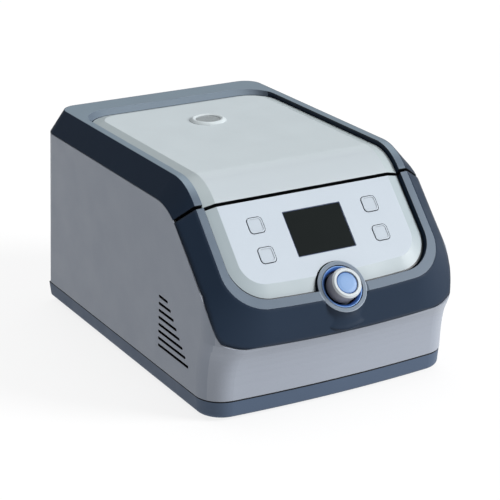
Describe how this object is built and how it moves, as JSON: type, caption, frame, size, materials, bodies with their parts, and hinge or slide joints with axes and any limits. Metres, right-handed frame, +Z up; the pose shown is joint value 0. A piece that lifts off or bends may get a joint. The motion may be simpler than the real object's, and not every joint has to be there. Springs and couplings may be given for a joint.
{
  "type": "laboratory micro-centrifuge",
  "caption": "Bench micro-centrifuge with a hinged lid over a fixed-angle rotor, a sloping control panel with display, square buttons and a lit push-and-turn knob.",
  "frame": {"origin": "on the bench under the centre of the machine's overall box", "axes": "+X to the user's right, +Y to the back, +Z up; the control panel faces -Y"},
  "size_m": [0.28, 0.41, 0.2214],
  "materials": {
    "dark_plastic": "satin moulded",
    "silver_paint": "satin silver paint",
    "grey_plastic": "satin moulded",
    "light_panel": "satin light panel",
    "dark_glass": "smoked display window",
    "black_plastic": "moulded",
    "light_plastic": "satin",
    "blue_glass": "translucent light guide",
    "blue_plastic": "satin",
    "satin_metal": "satin",
    "rubber": "matt",
    "steel": "brushed",
    "aluminium": "satin",
    "copper": "enamelled winding",
    "brass": "bright",
    "iron": "lacquered",
    "pcb": "solder mask",
    "glass": "clear"
  },
  "bodies": {
    "casing": {"base_tray": "dark_plastic", "rubber_feet": "rubber", "housing_shell": "silver_paint", "case_screws": "steel", "front_bezel": "dark_plastic", "fascia_trim": "grey_plastic", "control_fascia": "light_panel", "display_lens": "dark_glass", "display_module": "black_plastic", "control_board": "pcb", "board_screws": "steel", "tact_switches": "black_plastic", "knob_light_ring": "blue_glass", "encoder_body": "steel", "hinge_brackets": "steel", "hinge_pins": "steel", "bracket_screws": "steel", "lock_unit": "black_plastic", "top_deck": "grey_plastic", "deck_screws": "steel", "chamber_bowl": "steel", "bowl_gasket": "rubber", "motor_stator": "copper", "motor_housing": "aluminium", "motor_bearings": "steel", "motor_mount_plate": "aluminium", "vibration_dampers": "rubber", "damper_bolts": "steel", "board_standoffs": "brass", "power_board": "pcb", "heatsink": "aluminium", "transformer": "iron", "mains_filter": "steel", "power_inlet": "black_plastic", "inlet_pins": "brass", "fuse_drawer": "black_plastic", "switch_frame": "black_plastic"},
    "lid": {"lid_frame": "dark_plastic", "lid_trim": "grey_plastic", "lid_panel": "light_panel", "sight_glass_ring": "grey_plastic", "sight_glass": "glass", "lid_liner": "grey_plastic", "lid_screws": "steel", "lid_hinge_arms": "steel", "lid_striker": "steel"},
    "rotor": {"rotor_body": "aluminium", "rotor_nut": "aluminium", "motor_shaft": "steel", "motor_magnets": "steel"},
    "button_left_upper": {"button_left_upper": "light_plastic"},
    "button_left_lower": {"button_left_lower": "light_plastic"},
    "button_right_upper": {"button_right_upper": "light_plastic"},
    "button_right_lower": {"button_right_lower": "light_plastic"},
    "knob_rod": {"knob_plunger": "steel"},
    "knob": {"knob_shell": "satin_metal", "knob_cap": "blue_plastic"},
    "rocker": {"power_rocker": "black_plastic"},
    "lock": {"lock_bolt": "steel"}
  },
  "joints": [
    {"name": "lid_hinge", "type": "hinge", "parent": "casing", "child": "lid", "pos_m": [0, 0.194, 0.2085], "axis": [-1, 0, 0], "range_deg": [0, 75]},
    {"name": "rotor_spin", "type": "hinge", "parent": "casing", "child": "rotor", "pos_m": [0, 0.083, 0.12], "axis": [0, 0, 1], "continuous": true},
    {"name": "knob_press", "type": "slide", "parent": "casing", "child": "knob_rod", "axis": [0, 0.7716, -0.6361], "range_m": [0, 0.001], "stiffness_N_per_m": 3000, "springref_m": -0.0006},
    {"name": "knob_turn", "type": "hinge", "parent": "knob_rod", "child": "knob", "pos_m": [0, -0.1871, 0.1213], "axis": [0, -0.7716, 0.6361], "continuous": true},
    {"name": "rocker_tilt", "type": "hinge", "parent": "casing", "child": "rocker", "pos_m": [0.112, 0.196, 0.052], "axis": [-1, 0, 0], "range_deg": [0, 20]},
    {"name": "lock_slide", "type": "slide", "parent": "casing", "child": "lock", "axis": [0, -1, 0], "range_m": [0, 0.013]},
    {"name": "button_left_upper_press", "type": "slide", "parent": "casing", "child": "button_left_upper", "axis": [0, 0.7327, -0.6806], "range_m": [0, 0.0008], "stiffness_N_per_m": 1500, "springref_m": -0.0004},
    {"name": "button_left_lower_press", "type": "slide", "parent": "casing", "child": "button_left_lower", "axis": [0, 0.7327, -0.6806], "range_m": [0, 0.0008], "stiffness_N_per_m": 1500, "springref_m": -0.0004},
    {"name": "button_right_upper_press", "type": "slide", "parent": "casing", "child": "button_right_upper", "axis": [0, 0.7327, -0.6806], "range_m": [0, 0.0008], "stiffness_N_per_m": 1500, "springref_m": -0.0004},
    {"name": "button_right_lower_press", "type": "slide", "parent": "casing", "child": "button_right_lower", "axis": [0, 0.7327, -0.6806], "range_m": [0, 0.0008], "stiffness_N_per_m": 1500, "springref_m": -0.0004}
  ]
}
